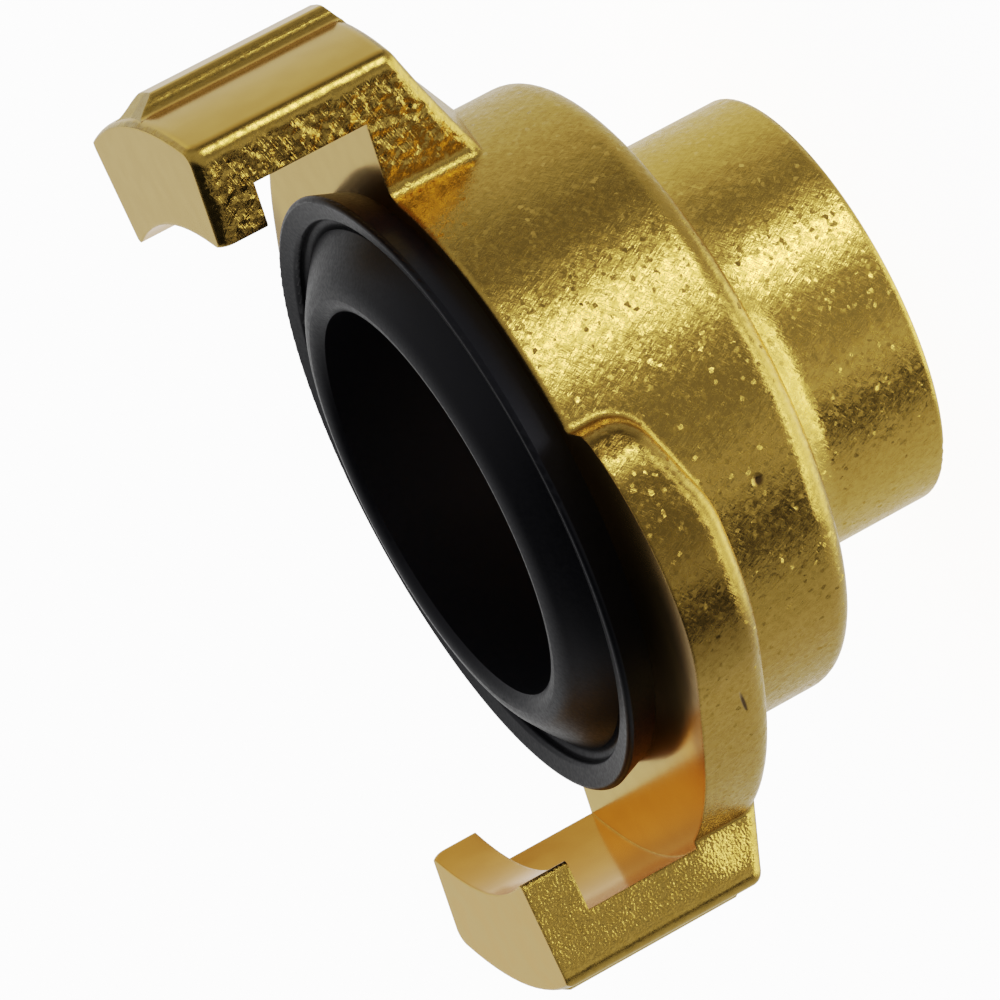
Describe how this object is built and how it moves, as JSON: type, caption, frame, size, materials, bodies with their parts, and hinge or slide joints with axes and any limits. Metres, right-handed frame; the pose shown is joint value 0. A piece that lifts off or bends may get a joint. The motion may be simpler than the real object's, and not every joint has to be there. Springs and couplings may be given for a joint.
{
  "type": "claw coupling",
  "caption": "Forged brass quick coupling half with hooked claws, locking wings and a threaded pipe socket; a moulded rubber sealing ring is snapped into its front face.",
  "frame": {"origin": "centre of the pipe socket's end face", "axes": "+Z along the coupling axis, from the pipe socket towards the claws; +X through the middle of one claw"},
  "size_m": [0.0532, 0.0452, 0.031],
  "materials": {
    "brass": "forged and tumbled, with machined faces",
    "seal_rubber": "moulded, satin"
  },
  "bodies": {
    "root": {"coupling_body": "brass", "seal_ring": "seal_rubber"}
  },
  "joints": []
}
